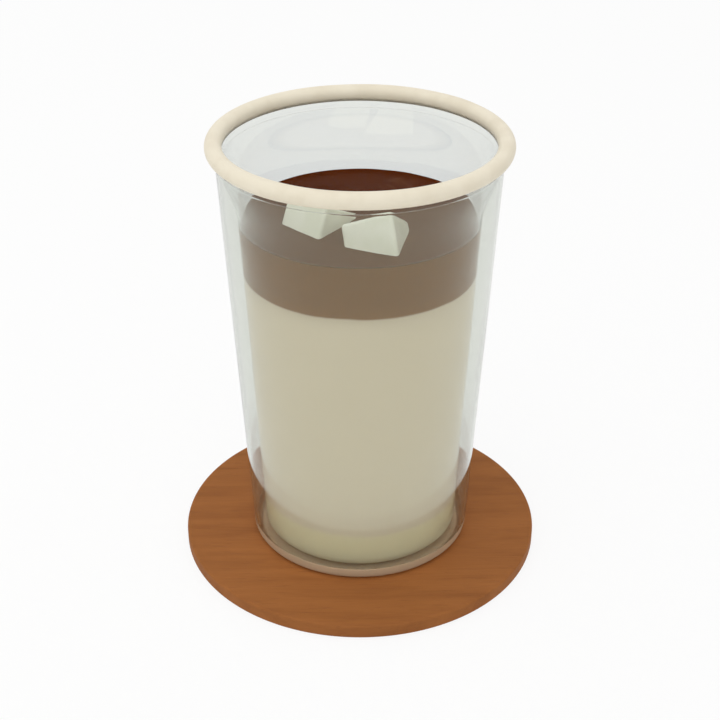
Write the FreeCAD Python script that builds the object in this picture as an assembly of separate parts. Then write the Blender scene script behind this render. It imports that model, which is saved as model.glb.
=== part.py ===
import FreeCAD, Part
import math
import os

from FreeCAD import Vector

# Iced coffee in a double-walled glass with a round lip ring, standing on a round coaster.
# Millimetres, +Z up, origin at the middle of the coaster's underside. The glass and what it holds are
# worked out from the glass's own foot, where z is 0, and are then lifted onto the coaster.
# Inside the glass lie three layers of drink, and two ice cubes float in the top one.

# Coaster
coaster_radius = 56.9
coaster_thickness = 4.5
coaster_edge_round = 0.7

# Glass: the outer wall runs straight from the foot to the middle of the lip ring
foot_radius = 34.7
foot_round = 2.0
mouth_radius = 42.0
mouth_height = 130.9
outer_wall = 1.1
inner_wall = 0.9
outer_base = 1.3
inner_base = 1.2
base_gap = 0.8            # sealed air between the two bases
foot_air_gap = 2.9        # sealed air between the two walls, at the inside floor
neck_air_gap = 3.7        # the same, where the inner wall begins to flare out to the lip
inside_round = 2.2        # where the inner wall meets the inside floor
lip_thickness = 2.1
lip_above_ring_middle = 0.3
flare_drop = 21.5         # start of the flare, below the middle of the ring
flare_end_drop = 3.4      # end of the flare, where the lip's two sides run parallel
cavity_top_drop = 6.2     # top of the sealed air, below the middle of the ring

# Lip ring, round in section
ring_section_radius = 2.55

# Drink, measured down from the middle of the ring
free_height = 23.4        # air above the coffee
coffee_depth = 15.6
sweet_milk_depth = 10.8   # the layer on the inside floor; the milky layer fills what is between

# Ice cubes: where each centre lies and how it has turned, in degrees about Z, then Y, then X
ice_edge = 15.9
ice_edge_round = 1.2
ice_sunk_share = 0.17     # right cube's centre below the coffee's surface, as a share of the edge
ice_wall_gap = 4.6        # from the inner wall to the ball in which the right cube could turn
ice_right_bearing = -71.6
ice_right_turn = (-11.6, -18.3, -33.0)
ice_left_turn = (-37.8, -7.8, -34.2)
ice_left_from_right = (-1.13, 0.71, -0.03)      # between the centres, in edges

UP = Vector(0, 0, 1)
ORIGIN = Vector(0, 0, 0)

wall_rise = Vector(mouth_radius - foot_radius, 0, mouth_height).normalize()
wall_out = Vector(wall_rise.z, 0, -wall_rise.x)
inside_floor = outer_base + base_gap + inner_base


def outer_radius(height):
    """Radius of the outer wall's outer face at a height above the foot."""
    return foot_radius + (mouth_radius - foot_radius) * height / mouth_height


def line(start, end):
    return Part.LineSegment(start, end).toShape()


def arc(start, middle, end):
    return Part.Arc(start, middle, end).toShape()


def square_to(direction):
    """The outward side of a direction that runs up the wall."""
    return Vector(direction.z, 0, -direction.x)


def bend(start, direction, end, shift):
    """An arc that leaves start in a direction and passes through end, moved sideways by shift."""
    chord = end - start
    along = Vector(chord).normalize()
    sideways = (direction - along * direction.dot(along)).normalize()
    quarter_turn = math.tan(direction.getAngle(along) / 2)
    middle = (start + end) / 2 + sideways * (chord.Length / 2 * quarter_turn)
    end_direction = along * (2 * direction.dot(along)) - direction
    points = (start + square_to(direction) * shift, middle + square_to(along) * shift,
              end + square_to(end_direction) * shift)
    return arc(*points), end_direction


def flare(start, start_direction, end, end_direction, shift):
    """Two arcs that meet smoothly half way and keep the given directions at both ends."""
    span = end - start
    both = start_direction + end_direction
    spread = 2 * (1 - start_direction.dot(end_direction))
    reach = span.dot(span) / (span.dot(both) + math.sqrt(span.dot(both) ** 2 + spread * span.dot(span)))
    middle = (start + end) / 2 + (start_direction - end_direction) * (reach / 2)
    first, middle_direction = bend(start, start_direction, middle, shift)
    second, _ = bend(middle, middle_direction, end, shift)
    return [first, second]


def rounded_corner(before, corner, after, radius):
    """Start, middle and end of the arc that rounds a corner between two straight sides."""
    to_before = (before - corner).normalize()
    to_after = (after - corner).normalize()
    half_angle = to_before.getAngle(to_after) / 2
    reach = radius / math.tan(half_angle)
    bisector = (to_before + to_after).normalize()
    middle = corner + bisector * (radius / math.sin(half_angle) - radius)
    return corner + to_before * reach, middle, corner + to_after * reach


def outline_face(edges):
    """The flat face inside a closed outline in the XZ half plane."""
    return Part.Face(Part.Wire(Part.__sortEdges__(edges)))


def turned_face(face):
    """The solid that a face in the XZ half plane makes when turned about Z."""
    solid = face.revolve(ORIGIN, UP, 360).Solids[0]
    return solid if solid.Volume > 0 else solid.reversed()


def turned(edges):
    return turned_face(outline_face(edges))


def inner_wall_line():
    """The inner wall's inner face: its foot on the inside floor, and the neck where it begins to flare."""
    floor_radius = outer_radius(inside_floor) - outer_wall - foot_air_gap - inner_wall
    neck_height = mouth_height - flare_drop
    neck_radius = outer_radius(neck_height) - outer_wall - neck_air_gap - inner_wall
    return Vector(floor_radius, 0, inside_floor), Vector(neck_radius, 0, neck_height)


def lip_outer_point(height):
    return Vector(outer_radius(height), 0, height)


def drinking_side(side_shift=0, floor_shift=0):
    """Outline of the drinking side, from the axis up to where the lip's two sides run parallel.

    The shifts move its wall outwards and its floor down.
    """
    floor_corner, neck = inner_wall_line()
    rise = (neck - floor_corner).normalize()
    floor = inside_floor - floor_shift
    shifted_neck = neck + square_to(rise) * side_shift
    corner = shifted_neck - rise * ((shifted_neck.z - floor) / rise.z)
    floor_middle = Vector(0, 0, floor)
    turn = rounded_corner(floor_middle, corner, shifted_neck, inside_round + side_shift)
    lip_inner = lip_outer_point(mouth_height - flare_end_drop) - wall_out * lip_thickness
    edges = [
        line(floor_middle, turn[0]),
        arc(*turn),
        line(turn[2], shifted_neck),
        *flare(neck, rise, lip_inner, wall_rise, side_shift),
    ]
    return edges, lip_inner + wall_out * side_shift


def drinking_space(side_shift=0, floor_shift=0):
    """The face inside that outline, closed along its top and along the axis."""
    edges, lip_inner = drinking_side(side_shift, floor_shift)
    top_middle = Vector(0, 0, lip_inner.z)
    floor_middle = Vector(0, 0, inside_floor - floor_shift)
    return outline_face([*edges, line(lip_inner, top_middle), line(top_middle, floor_middle)])


def glass_outline():
    """Outline of the glass as if its two walls were one thick wall."""
    foot_middle = Vector(0, 0, 0)
    foot_corner = Vector(foot_radius, 0, 0)
    lip_top = lip_outer_point(mouth_height + lip_above_ring_middle) - wall_out * (lip_thickness / 2)
    lip_outer = lip_top + wall_out * (lip_thickness / 2) - wall_rise * (lip_thickness / 2)
    lip_inner_top = lip_outer - wall_out * lip_thickness
    corner_start, corner_middle, corner_end = rounded_corner(foot_middle, foot_corner, lip_outer, foot_round)
    inside_edges, lip_inner = drinking_side()
    return [
        line(foot_middle, corner_start),
        arc(corner_start, corner_middle, corner_end),
        line(corner_end, lip_outer),
        arc(lip_outer, lip_top, lip_inner_top),
        line(lip_inner_top, lip_inner),
        *inside_edges,
        line(Vector(0, 0, inside_floor), foot_middle),
    ]


def sealed_air():
    """The closed space between the two walls and the two bases."""
    top = mouth_height - cavity_top_drop
    low_middle = Vector(0, 0, outer_base)
    top_middle = Vector(0, 0, top)
    corner = Vector(outer_radius(outer_base) - outer_wall / wall_out.x, 0, outer_base)
    outer_end = Vector(outer_radius(top) - outer_wall / wall_out.x, 0, top)
    turn = rounded_corner(low_middle, corner, outer_end, foot_round)
    within_outer_wall = outline_face([
        line(low_middle, turn[0]),
        arc(*turn),
        line(turn[2], outer_end),
        line(outer_end, top_middle),
        line(top_middle, low_middle),
    ])
    air = within_outer_wall.cut(drinking_space(inner_wall, inner_base))
    return turned_face(air.Faces[0])


def drink_layer(bottom, top, floating):
    """The stretch of the drink between two heights, cut round what floats in it."""
    slab = Part.makeCylinder(mouth_radius, top - bottom, Vector(0, 0, bottom))
    return turned_face(drinking_space()).common(slab).cut(floating).Solids[0]


def inside_radius(height):
    """Radius of the drinking side on its straight stretch."""
    floor_corner, neck = inner_wall_line()
    share = (height - floor_corner.z) / (neck.z - floor_corner.z)
    return floor_corner.x + (neck.x - floor_corner.x) * share


def ice_cube(centre, turn):
    """A cube with melted edges, turned about its own centre."""
    corner = Vector(-ice_edge / 2, -ice_edge / 2, -ice_edge / 2)
    cube = Part.makeBox(ice_edge, ice_edge, ice_edge, corner)
    cube = cube.makeFillet(ice_edge_round, cube.Edges)
    cube.Placement = FreeCAD.Placement(centre, FreeCAD.Rotation(*turn))
    return cube.Solids[0]


def ice_cubes(coffee_level):
    """The right cube keeps its gap to the wall, and the left one lies beside it."""
    half_diagonal = ice_edge * math.sqrt(3) / 2
    reach = inside_radius(coffee_level) - ice_wall_gap - half_diagonal
    bearing = math.radians(ice_right_bearing)
    height = coffee_level - ice_edge * ice_sunk_share
    right = Vector(reach * math.cos(bearing), reach * math.sin(bearing), height)
    left = right + Vector(*ice_left_from_right) * ice_edge
    return ice_cube(left, ice_left_turn), ice_cube(right, ice_right_turn)


def lip_ring():
    """A ring of round section whose groove fits over the lip."""
    circle = Part.Circle(Vector(mouth_radius, 0, mouth_height), Vector(0, -1, 0), ring_section_radius)
    section = Part.Face(Part.Wire(circle.toShape())).cut(outline_face(glass_outline())).Faces[0]
    return turned_face(section)


def coaster():
    disc = Part.makeCylinder(coaster_radius, coaster_thickness)
    rims = [edge for edge in disc.Edges if edge.Closed and isinstance(edge.Curve, Part.Circle)]
    return disc.makeFillet(coaster_edge_round, rims).Solids[0]


def build():
    """Every sub-part, by the name of its node."""
    coffee_level = mouth_height - free_height
    milk_level = coffee_level - coffee_depth
    sweet_milk_level = inside_floor + sweet_milk_depth

    glass = turned(glass_outline()).cut(sealed_air()).Solids[0]
    ice_left, ice_right = ice_cubes(coffee_level)
    ice = Part.makeCompound([ice_left, ice_right])
    on_coaster = {
        "glass": glass,
        "lip_ring": lip_ring(),
        "sweet_milk_layer": drink_layer(inside_floor, sweet_milk_level, ice),
        "milk_layer": drink_layer(sweet_milk_level, milk_level, ice),
        "coffee_layer": drink_layer(milk_level, coffee_level, ice),
        "ice_cube_left": ice_left,
        "ice_cube_right": ice_right,
    }
    lift = Vector(0, 0, coaster_thickness)
    parts = {name: shape.translated(lift) for name, shape in on_coaster.items()}
    parts["coaster"] = coaster()
    return parts


def main():
    os.makedirs("parts", exist_ok=True)
    for name, shape in build().items():
        shape.exportStep(f"parts/{name}.step")
        print(name, shape.ShapeType, "valid", shape.isValid(), "volume", round(shape.Volume, 1))


main()
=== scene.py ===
import math

import bpy
import numpy as np
from mathutils import Euler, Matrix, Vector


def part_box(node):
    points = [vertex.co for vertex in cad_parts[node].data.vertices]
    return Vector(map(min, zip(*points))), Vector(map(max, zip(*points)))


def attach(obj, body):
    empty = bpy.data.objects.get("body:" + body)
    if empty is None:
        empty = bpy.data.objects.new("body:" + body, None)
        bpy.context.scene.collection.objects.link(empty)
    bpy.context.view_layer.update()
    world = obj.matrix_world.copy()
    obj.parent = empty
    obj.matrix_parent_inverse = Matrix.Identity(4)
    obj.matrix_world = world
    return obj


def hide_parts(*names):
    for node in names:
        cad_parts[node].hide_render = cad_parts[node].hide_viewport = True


# Iced coffee in a misted double-walled glass, on a wooden coaster. Metres, +Z up, front towards -Y.

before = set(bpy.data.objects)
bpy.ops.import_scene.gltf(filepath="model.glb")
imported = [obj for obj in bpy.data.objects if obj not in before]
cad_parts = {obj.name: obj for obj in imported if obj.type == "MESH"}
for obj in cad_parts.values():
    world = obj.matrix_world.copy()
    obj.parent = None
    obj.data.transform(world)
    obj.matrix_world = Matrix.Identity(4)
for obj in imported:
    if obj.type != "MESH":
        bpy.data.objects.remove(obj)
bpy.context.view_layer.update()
print("frame loaded:", ", ".join(sorted(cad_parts)))

mm = 0.001
fullTurn = 2 * math.pi
waveShare = 0.4    # brings six waves, at most sqrt(6) together, below 1


def tone(red, green, blue):
    # a screen colour, 0 to 255, as the light that a shader wants
    screen = np.array([red, green, blue]) / 255
    light = np.where(screen <= 0.04045, screen / 12.92, ((screen + 0.055) / 1.055) ** 2.4)
    return (*(float(part) for part in light), 1.0)


class Wire:
    # a socket that carries numbers; Python's + - * / on it add Math nodes
    def __init__(self, finish, socket):
        self.finish = finish
        self.socket = socket

    def joined(self, operation, first, second):
        return self.finish.add("ShaderNodeMath", {"operation": operation}, {0: first, 1: second})

    def __add__(self, other):
        return self.joined("ADD", self, other)

    def __sub__(self, other):
        return self.joined("SUBTRACT", self, other)

    def __rsub__(self, other):
        return self.joined("SUBTRACT", other, self)

    def __mul__(self, other):
        return self.joined("MULTIPLY", self, other)

    __radd__ = __add__
    __rmul__ = __mul__


class Finish:
    # the nodes of one material or of the world, built one at a time
    def __init__(self, owner):
        self.owner = owner
        owner.use_nodes = True
        self.tree = owner.node_tree
        self.tree.nodes.clear()

    def add(self, kind, settings=None, inputs=None, output=0):
        # a node: its settings first, then a value or a link for each socket; gives back one output
        node = self.tree.nodes.new(kind)
        for key, value in (settings or {}).items():
            if key == "stops":
                self.setStops(node.color_ramp, value)
            else:
                setattr(node, key, value)
        for key, value in (inputs or {}).items():
            if isinstance(value, Wire):
                self.tree.links.new(value.socket, node.inputs[key])
            else:
                node.inputs[key].default_value = value
        return Wire(self, node.outputs[output]) if node.outputs else None

    def setStops(self, ramp, stops):
        while len(ramp.elements) < len(stops):
            ramp.elements.new(1.0)
        for element, (place, colour) in zip(ramp.elements, stops):
            element.position = place
            element.color = colour

    def place(self, scale=(1, 1, 1), turn=(0, 0, 0)):
        # Object coordinates, stretched and turned by a Mapping node
        here = self.add("ShaderNodeTexCoord", output="Object")
        return self.add("ShaderNodeMapping", {}, {"Vector": here, "Scale": scale, "Rotation": turn})

    def noise(self, where, scale, detail=3.0, roughness=0.5, distortion=0.0):
        return self.add("ShaderNodeTexNoise", {}, {"Vector": where, "Scale": scale, "Detail": detail,
                                                   "Roughness": roughness, "Distortion": distortion})

    def ramp(self, value, stops):
        return self.add("ShaderNodeValToRGB", {"stops": stops}, {"Fac": value})

    def between(self, value, low, high):
        # 0 below low, 1 above high, smooth in between
        return self.add("ShaderNodeMapRange", {"interpolation_type": "SMOOTHSTEP"},
                        {"Value": value, "From Min": low, "From Max": high})

    def mix(self, share, first, second):
        # sockets 0, 6, 7 and output 2 are the Mix node's colour ones
        return self.add("ShaderNodeMix", {"data_type": "RGBA"}, {0: share, 6: first, 7: second}, output=2)

    def bump(self, height, distance, strength):
        return self.add("ShaderNodeBump", {}, {"Height": height, "Distance": distance, "Strength": strength})

    def principled(self, **inputs):
        named = {key.replace("_", " "): value for key, value in inputs.items()}
        return self.add("ShaderNodeBsdfPrincipled", {}, named)

    def done(self, shader, output="ShaderNodeOutputMaterial"):
        self.add(output, {}, {"Surface": shader})
        return self.owner


def newFinish(name):
    # an empty material to build on
    return Finish(bpy.data.materials.new(name))


def meshPiece(name, points, faces, slots, materials, sharpAngle=35):
    # an object at the origin with its place in its mesh, smooth except across edges sharper than an angle
    mesh = bpy.data.meshes.new(name)
    mesh.from_pydata(points.tolist(), [], faces)
    mesh.polygons.foreach_set("use_smooth", np.ones(len(faces), bool))
    mesh.polygons.foreach_set("material_index", np.array(slots, np.int32))
    mesh.set_sharp_from_angle(angle=math.radians(sharpAngle))
    mesh.validate()
    for material in materials:
        mesh.materials.append(material)
    piece = bpy.data.objects.new(name, mesh)
    bpy.context.scene.collection.objects.link(piece)
    return piece


def turnedPiece(name, shells, materials):
    # shells of (points on a grid, closed on itself or not, material of each row) joined into one mesh
    points, faces, slots, count = [], [], [], 0
    for grid, closed, rowSlots in shells:
        shellPoints, quads, quadRows, fans = gridFaces(grid, closed)
        faces += (quads + count).tolist() + (fans + count).tolist()
        fanSlots = np.repeat([rowSlots[0], rowSlots[-1]], len(fans) // 2)
        slots += [*rowSlots[quadRows], *fanSlots]
        points.append(shellPoints)
        count += len(shellPoints)
    return meshPiece(name, np.concatenate(points), faces, slots, materials)


def gridFaces(grid, closed):
    # a closed grid wraps both ways; an open one starts and ends on the axis, with a fan at each end
    around = grid.shape[1]
    rings = grid if closed else grid[1:-1]
    rows = np.arange(len(rings) if closed else len(rings) - 1)
    row = rows[:, None]
    column = np.arange(around)[None, :]
    nextRow = (row + 1) % len(rings)
    nextColumn = (column + 1) % around
    quads = np.stack(np.broadcast_arrays(row * around + column, row * around + nextColumn,
                                         nextRow * around + nextColumn, nextRow * around + column), axis=-1)
    quads = quads.reshape(-1, 4)
    quadRows = np.repeat(rows, around)
    points = rings.reshape(-1, 3)
    if closed:
        return points, quads, quadRows, np.zeros((0, 3), int)
    low, high = len(points), len(points) + 1
    ring = np.arange(around)
    following = (ring + 1) % around
    lastRing = (len(rings) - 1) * around
    bottom = np.stack([np.full(around, low), following, ring], axis=1)
    top = np.stack([lastRing + ring, lastRing + following, np.full(around, high)], axis=1)
    points = np.concatenate([points, grid[:1, 0], grid[-1:, 0]])
    return points, quads, quadRows, np.concatenate([bottom, top])


def turned(profile, around):
    # each profile point, a radius and a height, goes round the axis: x = r cos a, y = r sin a, z = height
    angle = np.arange(around) / around * fullTurn
    radius, height = profile[:, :1], profile[:, 1:]
    return np.stack([radius * np.cos(angle), radius * np.sin(angle), height + 0 * angle], axis=-1)


def straight(start, end, steps=18):
    # points on a line, close together near both ends: share = (1 - cos(pi t)) / 2
    share = (1 - np.cos(np.linspace(0, math.pi, steps + 1))) / 2
    return np.array(start) + share[:, None] * (np.array(end) - np.array(start))


def arc(centre, radius, fromAngle, toAngle, steps=12):
    # points on a circle between two angles, in degrees
    angle = np.radians(np.linspace(fromAngle, toAngle, steps + 1))
    return np.array(centre) + radius * np.stack([np.cos(angle), np.sin(angle)], axis=1)


def rounded(before, corner, after, radius, steps=10):
    # the arc of a given radius that touches both sides of a corner
    before, corner, after = map(np.array, (before, corner, after))
    toBefore, toAfter = unit(before - corner), unit(after - corner)
    half = math.acos(toBefore @ toAfter) / 2
    centre = corner + unit(toBefore + toAfter) * radius / math.sin(half)
    spokes = [corner + side * radius / math.tan(half) - centre for side in (toBefore, toAfter)]
    first, last = (math.degrees(math.atan2(spoke[1], spoke[0])) for spoke in spokes)
    last += 360 * round((first - last) / 360)
    return arc(centre, radius, first, last, steps)


def flare(start, startRise, end, endRise, shift, steps=40):
    # a cubic that keeps the directions at both ends: (1 + 2t)(1 - t)^2 start + t^2 (3 - 2t) end
    # + t (1 - t)^2 reach startRise - t^2 (1 - t) reach endRise, where reach is the length from start to
    # end; every point is then moved sideways by shift
    t = np.linspace(0, 1, steps + 1)[:, None]
    leave, arrive = startRise * np.linalg.norm(end - start), endRise * np.linalg.norm(end - start)
    points = (1 + 2 * t) * (1 - t) ** 2 * start + t ** 2 * (3 - 2 * t) * end
    points += t * (1 - t) ** 2 * leave - t ** 2 * (1 - t) * arrive
    along = 6 * t * (1 - t) * (end - start) + (1 - t) * (1 - 3 * t) * leave + t * (3 * t - 2) * arrive
    along /= np.linalg.norm(along, axis=1, keepdims=True)
    return points + shift * np.stack([along[:, 1], -along[:, 0]], axis=1)


def profileFrom(*runs):
    # joins runs of points and drops those that repeat
    points = np.concatenate(runs)
    keep = np.append(True, np.linalg.norm(np.diff(points, axis=0), axis=1) > 1e-7)
    return points[keep]


def unit(vector):
    # the same direction, one long
    return vector / np.linalg.norm(vector)


def waves(points, seed, length, count=6):
    # a sum of sine waves in random directions, crests about a length apart, never over sqrt(count)
    draw = np.random.default_rng(seed)
    heading = draw.normal(size=(count, 3))
    heading *= fullTurn / length / np.linalg.norm(heading, axis=1)[:, None]
    heading *= draw.uniform(0.6, 1.4, size=(count, 1))
    phase = draw.uniform(0, fullTurn, size=count)
    return np.sin(points @ heading.T + phase).sum(axis=-1) / math.sqrt(count)


# sizes and places that come from the frame
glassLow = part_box("glass")[0]
ringLow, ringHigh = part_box("lip_ring")
coffeeLow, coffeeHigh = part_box("coffee_layer")
milkLow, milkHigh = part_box("milk_layer")
sweetLow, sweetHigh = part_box("sweet_milk_layer")
coasterLow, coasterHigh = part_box("coaster")

ringHeight = (ringLow.z + ringHigh.z) / 2
ringSection = (ringHigh.z - ringLow.z) / 2
ringRadius = ringHigh.y - ringSection
insideSlope = (coffeeHigh.y - milkHigh.y) / (coffeeHigh.z - milkHigh.z)


def insideRadius(height):
    # the drinking side's radius on its straight stretch
    return coffeeHigh.y + insideSlope * (height - coffeeHigh.z)


coaster = {
    "edgeRound": 0.7 * mm,
    "around": 256,
    "faceRings": 40,
    "unevenness": 0.05 * mm,     # how far the outline wanders in and out
    "waveLength": 60 * mm,
    "seed": 11,
    "grainTurn": math.radians(16),
    "light": tone(164, 104, 56),
    "middle": tone(156, 98, 52),
    "dark": tone(144, 89, 47),
    "pore": tone(116, 70, 37),
    "bandScale": 26,             # these three are noise per metre, before the stretch along the grain
    "fibreScale": 60,
    "poreScale": 150,
    "poreShare": 0.45,           # how much of the pore's tone shows in a pore
    "relief": 0.12 * mm,
}


def woodFinish():
    # broad bands and fine fibres along the grain, darker pores, and bump from the fibres and pores
    finish = newFinish("coasterWood")
    turn = (0, 0, coaster["grainTurn"])
    along = finish.place(scale=(1, 7, 5), turn=turn)
    fine = finish.place(scale=(1, 30, 30), turn=turn)
    bands = finish.noise(along, coaster["bandScale"], detail=4, roughness=0.55, distortion=0.6)
    fibres = finish.noise(fine, coaster["fibreScale"], detail=5, roughness=0.65)
    pores = finish.between(finish.noise(fine, coaster["poreScale"], detail=2), 0.62, 0.72)
    tones = [(0.34, coaster["dark"]), (0.5, coaster["middle"]), (0.66, coaster["light"])]
    colour = finish.ramp(bands * 0.7 + fibres * 0.3, tones)
    colour = finish.mix(pores * coaster["poreShare"], colour, coaster["pore"])
    bump = finish.bump(fibres * 0.6 - pores * 0.8, coaster["relief"], 0.5)
    shader = finish.principled(Base_Color=colour, Roughness=0.56 + fibres * 0.14, IOR=1.45,
                               Specular_IOR_Level=0.12, Normal=bump)
    return finish.done(shader)


def woodCoaster():
    # a disc of radius R with eased edges, each point moved outwards by unevenness (r / R)^2 waves
    edge = coaster["edgeRound"]
    radius = (coasterHigh.y - coasterLow.y) / 2 - coaster["unevenness"]
    thick = coasterHigh.z
    profile = profileFrom(
        straight((0, 0), (radius - edge, 0), coaster["faceRings"]),
        arc((radius - edge, edge), edge, -90, 0),
        arc((radius - edge, thick - edge), edge, 0, 90),
        straight((radius - edge, thick), (0, thick), coaster["faceRings"]),
    )
    grid = turned(profile, coaster["around"])
    wander = waves(grid, coaster["seed"], coaster["waveLength"])[..., None] * waveShare
    away = np.linalg.norm(grid[..., :2], axis=-1, keepdims=True) / radius
    grid[..., :2] *= 1 + coaster["unevenness"] / radius * away * wander
    return turnedPiece("woodCoaster", [(grid, False, np.zeros(len(profile), int))], [woodFinish()])


glass = {
    "footRadius": 34.7 * mm,
    "footRound": 2.0 * mm,
    "outerWall": 1.1 * mm,
    "innerWall": 0.9 * mm,
    "outerBase": 1.3 * mm,
    "innerBase": 1.2 * mm,
    "insideRound": 2.2 * mm,
    "pushUp": 0.4 * mm,          # how far the underside rises towards its middle
    "airFilm": 0.03 * mm,        # under the foot, so that no face is shared with the coaster
    "lipThickness": 2.1 * mm,
    "lipAboveRing": 0.3 * mm,
    "flareDrop": 21.5 * mm,
    "flareEndDrop": 3.4 * mm,
    "cavityTopDrop": 4.4 * mm,
    "around": 192,
    "wallRows": 24,
    "ripple": 0.015 * mm,        # how uneven the blown walls are
    "rippleLength": 30 * mm,
    "rippleFrom": 20 * mm,       # nearer to the axis than this, the glass is even
    "outsideSeed": 21,
    "airSeed": 22,
    "index": 1.47,               # of refraction
    "glint": (1.0, 0.86, 0.6, 1.0),    # how much of each colour its faces reflect
    "smoke": tone(215, 219, 211),
    "mist": 0.05,                # share of the outer face that is a pale haze
    # painted light: round the foot a warm, dense haze lightens the shade beneath the glass, as if lit coaster
    # showed through
    "footPaintedLightTone": tone(228, 206, 176),
    "footPaintedLightShare": 0.6,             # the same round the foot and on both faces of the base, warm and dense: painted light over the shade there
}

footHeight = glassLow.z + glass["airFilm"]
wallRise = unit(np.array([ringRadius - glass["footRadius"], ringHeight - footHeight]))
wallOut = np.array([wallRise[1], -wallRise[0]])


def outerPoint(height):
    # the outer wall is straight from the foot to the ring
    share = (height - footHeight) / (ringHeight - footHeight)
    return np.array([glass["footRadius"] + (ringRadius - glass["footRadius"]) * share, height])


def drinkingSide(shift, drop):
    # from the inside floor up to the lip, the wall moved out by shift and the floor down by drop
    floor = sweetLow.z
    neckHeight = ringHeight - glass["flareDrop"]
    neck = np.array([insideRadius(neckHeight), neckHeight])
    rise = unit(neck - np.array([insideRadius(floor), floor]))
    lipInner = outerPoint(ringHeight - glass["flareEndDrop"]) - wallOut * glass["lipThickness"]
    shiftedNeck = neck + np.array([rise[1], -rise[0]]) * shift
    corner = shiftedNeck - rise * (shiftedNeck[1] - floor + drop) / rise[1]
    turn = rounded((0, floor - drop), corner, shiftedNeck, glass["insideRound"] + shift)
    return profileFrom(straight((0, floor - drop), turn[0]), turn,
                       straight(turn[-1], shiftedNeck, glass["wallRows"]),
                       flare(neck, rise, lipInner, wallRise, shift))


def glassEnvelope():
    # up the outer wall, over the lip and down the inside, and how many of its points are on the outer wall
    half = glass["lipThickness"] / 2
    lipMiddle = outerPoint(ringHeight + glass["lipAboveRing"]) - wallOut * half - wallRise * half
    lean = math.degrees(math.atan2(wallOut[1], wallOut[0]))
    lipTop = arc(lipMiddle, half, lean, lean + 180)
    foot = rounded((0, footHeight), (glass["footRadius"], footHeight), lipTop[0], glass["footRound"])
    outside = profileFrom(straight((0, footHeight + glass["pushUp"]), foot[0]), foot,
                          straight(foot[-1], lipTop[0], glass["wallRows"]))
    inside = drinkingSide(0, 0)[::-1]
    return profileFrom(outside, lipTop, straight(lipTop[-1], inside[0], 6), inside), len(outside)


def sealedAir():
    # the space between the walls: up inside the outer wall, round its narrow top and down the inner wall
    low = glassLow.z + glass["outerBase"]
    top = ringHeight - glass["cavityTopDrop"]
    inward = np.array([glass["outerWall"] / wallOut[0], 0])
    outerEnd = outerPoint(top) - inward
    turn = rounded((0, low), outerPoint(low) - inward, outerEnd, glass["footRound"])
    inner = drinkingSide(glass["innerWall"], glass["innerBase"])
    below = inner[inner[:, 1] < top]
    last, following = below[-1], inner[len(below)]
    innerEnd = last + (following - last) * (top - last[1]) / (following[1] - last[1])
    close = arc((outerEnd + innerEnd) / 2, (outerEnd - innerEnd)[0] / 2, 0, 180, 8)
    return profileFrom(straight((0, low), turn[0]), turn, straight(turn[-1], outerEnd, glass["wallRows"]),
                       close, [innerEnd], below[::-1])


def glassFinish(name, colour, mist, roughness):
    # clear glass with a share of pale haze
    finish = newFinish(name)
    shader = finish.principled(Base_Color=colour, Roughness=roughness, IOR=glass["index"],
                               Specular_Tint=glass["glint"], Transmission_Weight=1 - mist)
    return finish.done(shader)


def glassWalls():
    # the envelope and the sealed air turned round the axis, each point moved outwards by ripple waves
    materials = [glassFinish("clearGlass", (1, 1, 1, 1), 0.0, 0.0),
                 glassFinish("mistedGlass", glass["smoke"], glass["mist"], 0.03),
                 # the foot's haze paints light over the shade beneath the glass
                 glassFinish("footHazePaintedLight", glass["footPaintedLightTone"], glass["footPaintedLightShare"], 0.1)]
    clear, misted, foot = range(len(materials))
    envelope, outerRows = glassEnvelope()
    air = sealedAir()[::-1]
    outside = np.where(np.arange(len(envelope)) < outerRows - 1, misted, clear)
    # round the foot and on the base's faces, the haze that paints light over the shade beneath the glass
    outside[envelope[:, 1] < footHeight + glass["footRound"]] = foot
    inside = np.where(air[:, 1] < glassLow.z + glass["outerBase"] + 0.1 * mm, foot, clear)
    surfaces = ((envelope, glass["outsideSeed"], outside), (air, glass["airSeed"], inside))
    shells = []
    for profile, seed, rowSlots in surfaces:
        grid = turned(profile, glass["around"])
        away = np.linalg.norm(grid[..., :2], axis=-1, keepdims=True)
        push = glass["ripple"] * waves(grid * (1, 1, 0.5), seed, glass["rippleLength"])[..., None]
        grid[..., :2] *= 1 + np.where(away > glass["rippleFrom"], push / np.maximum(away, mm), 0)
        shells.append((grid, False, rowSlots))
    return turnedPiece("glassWalls", shells, materials)


ring = {
    "around": 256,
    "steps": 40,
    "unevenness": 0.05 * mm,     # how far the section's radius comes and goes
    "waveLength": 25 * mm,
    "seed": 31,
    "cream": tone(242, 233, 212),
    "shade": tone(236, 226, 204),
    "patchScale": 120,           # noise per metre, as the next one is
    "grainScale": 2600,
    "relief": 0.02 * mm,
}


def creamFinish():
    # two creams in soft patches, with a fine moulded grain
    finish = newFinish("creamSilicone")
    where = finish.place()
    patches = finish.noise(where, ring["patchScale"], detail=3)
    grain = finish.noise(where, ring["grainScale"], detail=2)
    colour = finish.mix(finish.between(patches, 0.35, 0.65), ring["shade"], ring["cream"])
    shader = finish.principled(Base_Color=colour, Roughness=0.42 + patches * 0.16, IOR=1.42,
                               Specular_IOR_Level=0.3, Normal=finish.bump(grain, ring["relief"], 0.4))
    return finish.done(shader)


def lipRing():
    # a circle carried round the lip: middle + (circle - middle) (1 + unevenness / section waves)
    profile = arc((ringRadius, ringHeight), ringSection - ring["unevenness"], -90, 270, ring["steps"])[:-1]
    grid = turned(profile, ring["around"])
    middle = turned(np.array([[ringRadius, ringHeight]]), ring["around"])
    wander = waves(grid, ring["seed"], ring["waveLength"])[..., None] * waveShare
    grid = middle + (grid - middle) * (1 + ring["unevenness"] / ringSection * wander)
    return turnedPiece("lipRing", [(grid, True, np.zeros(len(profile), int))], [creamFinish()])


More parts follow.
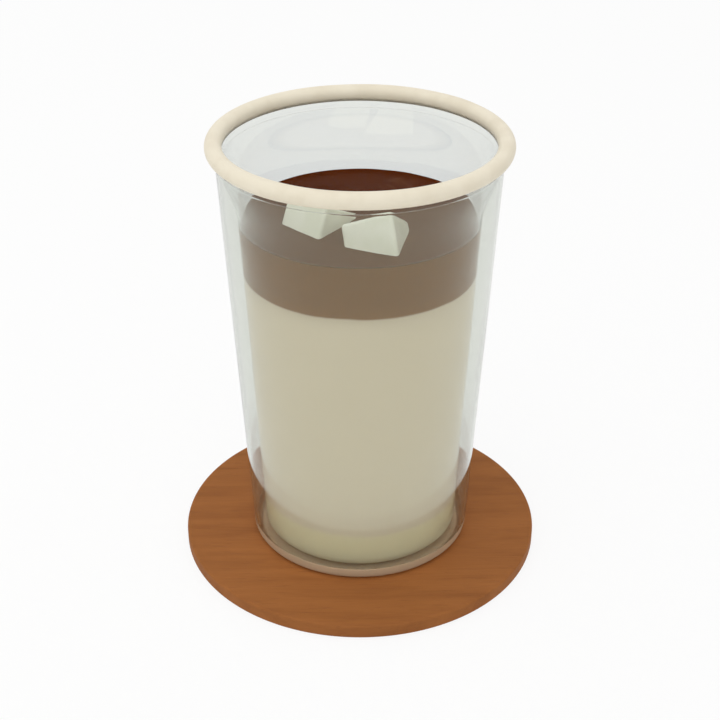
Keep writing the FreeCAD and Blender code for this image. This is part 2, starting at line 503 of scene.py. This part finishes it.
drink = {
    "intoWall": 0.25 * mm,
    "around": 384,
    "sideRows": 16,
    "topRows": 40,
    "coffeeTopRows": 150,
    "blend": 0.9 * mm,           # how far neighbouring layers run into each other
    "swirlScale": 55,            # noise per metre
    "swirlBend": 1.2 * mm,       # how far the swirls raise and lower the two boundaries
    "driftScale": 70,            # noise per metre, as the next one is
    "rippleScale": 160,
    "rippleHeight": 0.05 * mm,
    # sweet milk, yellower than the milk as it is, and painted paler than the milk to offset the shade low in
    # the glass
    "sweet": tone(255, 249, 220),
    "milk": tone(248, 239, 222),
    "marbling": tone(236, 223, 198),
    # painted light: the coffee's side is much paler than its top, standing in for light that the misted glass
    # scatters in front of it
    "coffeeSidePaintedHaze": tone(158, 115, 74),
    "coffeeTop": tone(75, 31, 6),
    "wallRise": 0.7 * mm,        # the coffee climbs this far up the wall
    "wallReach": 1.3 * mm,
    "iceRise": 0.12 * mm,        # and this far up the ice
    "iceReach": 0.8 * mm,
    "surfaceWaves": 0.04 * mm,
    "waveLength": 14 * mm,
    "seed": 41,
    "underIce": 1.3 * mm,        # how far inside a cube's sides the surface dips under it
    "iceCover": 0.2 * mm,        # the least ice that stands over a dip
    "leastDepth": 0.1 * mm,      # of coffee under a dip
}

ice = {
    "edge": 15.9 * mm,
    "edgeRound": 1.3 * mm,
    "turns": {"ice_cube_left": (-37.8, -7.8, -34.2), "ice_cube_right": (-11.6, -18.3, -33.0)},
    "seeds": {"ice_cube_left": 51, "ice_cube_right": 52},
    "steps": 48,
    "melt": 0.28 * mm,           # how far the faces come and go
    "meltLength": 13 * mm,
    "meltWaves": 5,
    "boxInset": 0.084 * mm,      # how far inside the edge's length the box starts, on each side
    "inset": 0.1 * mm,           # how far all faces have melted back from there
    "white": tone(253, 254, 238),
    "clear": tone(245, 247, 228),
    "cloudScale": 130,           # noise per metre, as the next two are
    "streakScale": 700,
    "dentScale": 260,
    "dentDepth": 0.25 * mm,
}


def iceFrame(node):
    # a cube's middle, and the turn from its own axes to the glass's: about X first, then Y, then Z
    low, high = map(np.array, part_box(node))
    aboutZ, aboutY, aboutX = map(math.radians, ice["turns"][node])
    return (low + high) / 2, np.array(Euler((aboutX, aboutY, aboutZ), "XYZ").to_matrix())


def insideIce(across, node, shrink):
    # for each point seen from above, the heights at which a plumb line enters and leaves the cube, with
    # shrink taken off each of its sides
    middle, turn = iceFrame(node)
    half = ice["edge"] / 2 - shrink
    start = (np.concatenate([across, np.zeros_like(across[..., :1])], axis=-1) - middle) @ turn
    up = np.array([0, 0, 1]) @ turn
    ends = np.stack([(-half - start) / up, (half - start) / up])
    return ends.min(axis=0).max(axis=-1), ends.max(axis=0).min(axis=-1)


def nearIce(points, node):
    # distance from the cube, 0 inside it
    middle, turn = iceFrame(node)
    local = np.abs((points - middle) @ turn)
    return np.linalg.norm(np.maximum(local - ice["edge"] / 2, 0), axis=-1)


def coffeeRelief(grid, level):
    # the level surface climbs the wall and the ice by exp(-distance / reach), and opens under each cube
    across = grid[..., :2]
    flat = np.concatenate([across, np.full_like(across[..., :1], level)], axis=-1)
    fromWall = np.maximum(insideRadius(level) - np.linalg.norm(across, axis=-1), 0)
    height = level + drink["wallRise"] * np.exp(-fromWall / drink["wallReach"])
    for node in ice["turns"]:
        height += drink["iceRise"] * np.exp(-nearIce(flat, node) / drink["iceReach"])
    height += drink["surfaceWaves"] * waves(flat, drink["seed"], drink["waveLength"])
    for node in ice["turns"]:
        enter, leave = insideIce(across, node, drink["underIce"])
        under = (enter < leave) & (enter < level) & (leave > level + drink["iceCover"])
        height = np.where(under, np.maximum(enter, coffeeLow.z + drink["leastDepth"]), height)
    return height


def sideFinish():
    # the colour goes from sweet milk to milk to coffee with height; swirls bend the two boundaries and
    # marble the milk. The coffee here is painted paler than on its top, standing in for light that the misted
    # glass scatters in front of it, and the sweet milk is painted paler to offset the shade low in the glass
    finish = newFinish("layeredDrink")
    where = finish.place()
    height = finish.add("ShaderNodeSeparateXYZ", {}, {"Vector": where}, output=2)
    swirl = finish.noise(finish.place(scale=(1, 1, 1.6)), drink["swirlScale"], detail=4, distortion=0.8)
    bent = height + (swirl - 0.5) * drink["swirlBend"]
    blend = drink["blend"]
    toMilk = finish.between(bent, sweetHigh.z - blend, sweetHigh.z + blend)
    toCoffee = finish.between(bent, milkHigh.z - blend / 2, milkHigh.z + blend / 2)
    colour = finish.mix(toMilk, drink["sweet"], drink["milk"])
    colour = finish.mix((swirl - 0.5) * 0.18 + 0.05, colour, drink["marbling"])
    colour = finish.mix(toCoffee, colour, drink["coffeeSidePaintedHaze"])
    shader = finish.principled(Base_Color=colour, Roughness=0.35 + swirl * 0.08, IOR=1.34,
                               Specular_IOR_Level=0.0)
    return finish.done(shader)


def surfaceFinish():
    # dark coffee, a little paler where milk has drifted up, with fine ripples
    finish = newFinish("coffeeSurface")
    where = finish.place()
    drift = finish.noise(where, drink["driftScale"], detail=4, distortion=1.2)
    ripple = finish.noise(where, drink["rippleScale"], detail=2)
    # the paler drift tone is the side's coffee, which carries that painted haze light
    colour = finish.mix(finish.between(drift, 0.5, 0.8) * 0.12, drink["coffeeTop"], drink["coffeeSidePaintedHaze"])
    bump = finish.bump(ripple, drink["rippleHeight"], 0.3)
    shader = finish.principled(Base_Color=colour, Roughness=0.12 + drift * 0.08, IOR=1.34,
                               Specular_IOR_Level=0.03, Normal=bump)
    return finish.done(shader)


layeredDrink, coffeeSurface = sideFinish(), surfaceFinish()


def drinkLayer(name, low, high, corner=0.0, topRows=drink["topRows"], relief=None):
    # a slug of drink as wide as the drinking side plus intoWall, its bottom corner rounded or sharp;
    # relief, where it is given, sets the height of every point of its top
    inTo = drink["intoWall"]
    lowRadius, highRadius = insideRadius(low) + inTo, insideRadius(high) + inTo
    if corner:
        low -= inTo
        turn = rounded((0, low), (lowRadius, low), (highRadius, high), corner + inTo)
        start = [straight((0, low), turn[0]), turn, straight(turn[-1], (highRadius, high), drink["sideRows"])]
    else:
        start = [straight((0, low), (lowRadius, low)),
                 straight((lowRadius, low), (highRadius, high), drink["sideRows"])]
    topRun = np.linspace(1, 0, topRows + 1)[:, None] * np.array([[highRadius, 0]]) + np.array([[0, high]])
    profile = profileFrom(*start, topRun)
    grid = turned(profile, drink["around"])
    if relief is not None:
        top = slice(len(profile) - topRows - 1, None)
        grid[top, :, 2] = relief(grid[top], high)
    onTop = (np.arange(len(profile)) >= len(profile) - topRows - 2).astype(int)
    return turnedPiece(name, [(grid, False, onTop)], [layeredDrink, coffeeSurface])


def iceFinish():
    # cloudy and clearer patches, fine streaks, shallow melt dents
    finish = newFinish("cloudyIce")
    where = finish.place()
    along = finish.place(scale=(1, 1, 0.25), turn=(0.5, 0.3, 0))
    cloud = finish.noise(where, ice["cloudScale"], detail=4, roughness=0.6, distortion=0.4)
    streaks = finish.noise(along, ice["streakScale"], detail=3)
    cloudy = finish.between(cloud + (streaks - 0.5) * 0.3, 0.38, 0.66)
    dents = finish.bump(finish.noise(where, ice["dentScale"], detail=2), ice["dentDepth"], 0.35)
    colour = finish.mix(cloudy, ice["clear"], ice["white"])
    shader = finish.principled(Base_Color=colour, Roughness=0.08 + cloud * 0.12, IOR=1.31,
                               Transmission_Weight=0.12, Normal=dents)
    return finish.done(shader)


cloudyIce = iceFinish()


def boxShell(half, steps):
    # a cube's six faces as grids, close together near the edges: share = sin(pi t / 2); doubles are joined
    share = np.sin(np.linspace(-0.5, 0.5, steps + 1) * math.pi) * half
    a, b = (side.ravel() for side in np.meshgrid(share, share, indexing="ij"))
    faces = np.arange((steps + 1) ** 2).reshape(steps + 1, steps + 1)
    quads = np.stack([faces[:-1, :-1], faces[1:, :-1], faces[1:, 1:], faces[:-1, 1:]], axis=-1).reshape(-1, 4)
    points, quadBlocks = [], []
    for axis in range(3):
        for sign in (-1, 1):
            block = np.empty((len(a), 3))
            block[:, axis] = sign * half
            block[:, (axis + 1) % 3], block[:, (axis + 2) % 3] = a, b
            quadBlocks.append((quads if sign > 0 else quads[:, ::-1]) + sum(map(len, points)))
            points.append(block)
    grain = 0.001 * mm
    counted = np.round(np.concatenate(points) / grain).astype(int)
    unique, where = np.unique(counted, axis=0, return_inverse=True)
    return unique * grain, where.ravel()[np.concatenate(quadBlocks)]


def iceCube(node, name):
    # each point of a box goes to core + out (edgeRound - inset + melt waves / 2), with its core in a smaller
    # box and out its direction from there
    half, edgeRound = ice["edge"] / 2 - ice["boxInset"], ice["edgeRound"]
    points, quads = boxShell(half, ice["steps"])
    core = np.clip(points, -half + edgeRound, half - edgeRound)
    out = points - core
    out /= np.linalg.norm(out, axis=1, keepdims=True)
    come = ice["melt"] / 2 * waves(points, ice["seeds"][node], ice["meltLength"], ice["meltWaves"])
    points = core + out * (edgeRound - ice["inset"] + come[:, None])
    middle, turn = iceFrame(node)
    return meshPiece(name, points @ turn.T + middle, quads.tolist(), np.zeros(len(quads)), [cloudyIce])


made = {
    "coaster": (woodCoaster(), "coaster_wood"),
    "glass": (glassWalls(), "misted_glass"),
    "lip_ring": (lipRing(), "cream_silicone"),
    "sweet_milk_layer": (drinkLayer("sweetMilk", sweetLow.z, sweetHigh.z, corner=glass["insideRound"]),
                         "sweet_milk"),
    "milk_layer": (drinkLayer("milkyCoffee", milkLow.z, milkHigh.z), "milky_coffee"),
    "coffee_layer": (drinkLayer("darkCoffee", coffeeLow.z, coffeeHigh.z, topRows=drink["coffeeTopRows"],
                                relief=coffeeRelief), "dark_coffee"),
    "ice_cube_left": (iceCube("ice_cube_left", "iceLeft"), "ice"),
    "ice_cube_right": (iceCube("ice_cube_right", "iceRight"), "ice"),
}
for node, (piece, slotName) in made.items():
    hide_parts(node)
    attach(piece, "root")
    print("made", piece.name, len(piece.data.polygons), "faces")


studio = {
    "floorRadius": 4.0,
    "floorThick": 2 * mm,
    "floorDrop": 0.02 * mm,      # below the coaster, so that no face is shared
    "floorAround": 96,
    "floorTone": tone(250, 250, 249),
    "floorGlow": 0.86,           # share of the floor that is plain white to rays that see the background
    "surround": 0.72,            # strength of the even light from all round
    "keyPlace": (-0.55, -0.4, 1.45),
    "keySize": 1.8,
    "keyShare": 0.34,            # of the light on a surface that faces the lamp
    "aim": (0, 0, 0.07),
}


def seenMask(finish):
    # 1 for rays that see the background: from the camera, off gloss, or through glass
    path = finish.add("ShaderNodeLightPath").socket.node.outputs
    seen = [Wire(finish, path[name]) for name in ("Is Camera Ray", "Is Glossy Ray", "Is Transmission Ray")]
    return finish.add("ShaderNodeClamp", {}, {"Value": seen[0] + seen[1] + seen[2]})


def paleFloor():
    # a wide matte disc that keeps the shadow, mostly white to rays that see the background
    finish = newFinish("paleFloor")
    matte = finish.principled(Base_Color=studio["floorTone"], Roughness=0.9, Specular_IOR_Level=0.0)
    glow = finish.add("ShaderNodeEmission", {}, {"Color": (1, 1, 1, 1), "Strength": 1.0})
    seen = seenMask(finish) * studio["floorGlow"]
    shader = finish.add("ShaderNodeMixShader", {}, {0: seen, 1: matte, 2: glow})
    radius, top = studio["floorRadius"], -studio["floorDrop"]
    low = top - studio["floorThick"]
    profile = profileFrom(straight((0, low), (radius, low), 4), straight((radius, top), (0, top), 12))
    grid = turned(profile, studio["floorAround"])
    floor = turnedPiece("paleFloor", [(grid, False, np.zeros(len(profile), int))], [finish.done(shader)])


def surround():
    # even light from all round, white to rays that see the background
    world = bpy.data.worlds.new("softRoom")
    bpy.context.scene.world = world
    finish = Finish(world)
    strength = seenMask(finish) * (1 - studio["surround"]) + studio["surround"]
    light = finish.add("ShaderNodeBackground", {}, {"Color": (1, 1, 1, 1), "Strength": strength})
    finish.done(light, "ShaderNodeOutputWorld")


def keyLamp():
    # a disc lamp; at a distance d an energy of pi^2 d^2 s gives the share s of full light
    lamp = bpy.data.lights.new("keyLamp", "AREA")
    place, aim = np.array(studio["keyPlace"]), np.array(studio["aim"])
    distance = np.linalg.norm(aim - place)
    lamp.shape = "DISK"
    lamp.size = studio["keySize"]
    lamp.energy = math.pi ** 2 * distance ** 2 * studio["keyShare"]
    holder = bpy.data.objects.new("keyLamp", lamp)
    holder.location = place
    heading = (aim - place) / distance
    holder.rotation_euler = (math.acos(-heading[2]), 0, math.pi - math.atan2(heading[0], -heading[1]))
    bpy.context.scene.collection.objects.link(holder)


camera = {
    "place": (0, -0.3844, 0.2854),
    "down": 30.02,               # degrees below level
    "lens": 71.29,               # in millimetres, as the sensor's width is
    "sensor": 36,
    "nearest": 0.01,
}


def addCamera():
    data = bpy.data.cameras.new("camera")
    data.lens = camera["lens"]
    data.sensor_width = camera["sensor"]
    data.clip_start = camera["nearest"]
    holder = bpy.data.objects.new("camera", data)
    holder.location = camera["place"]
    holder.rotation_euler = (math.radians(90 - camera["down"]), 0, 0)
    bpy.context.scene.collection.objects.link(holder)
    bpy.context.scene.camera = holder


paleFloor()
surround()
keyLamp()
addCamera()
bpy.context.scene.view_settings.view_transform = "Standard"
# light on its way to the drink passes the clear walls unblurred
bpy.context.scene.cycles.blur_glossy = 0.0
print("stage set")
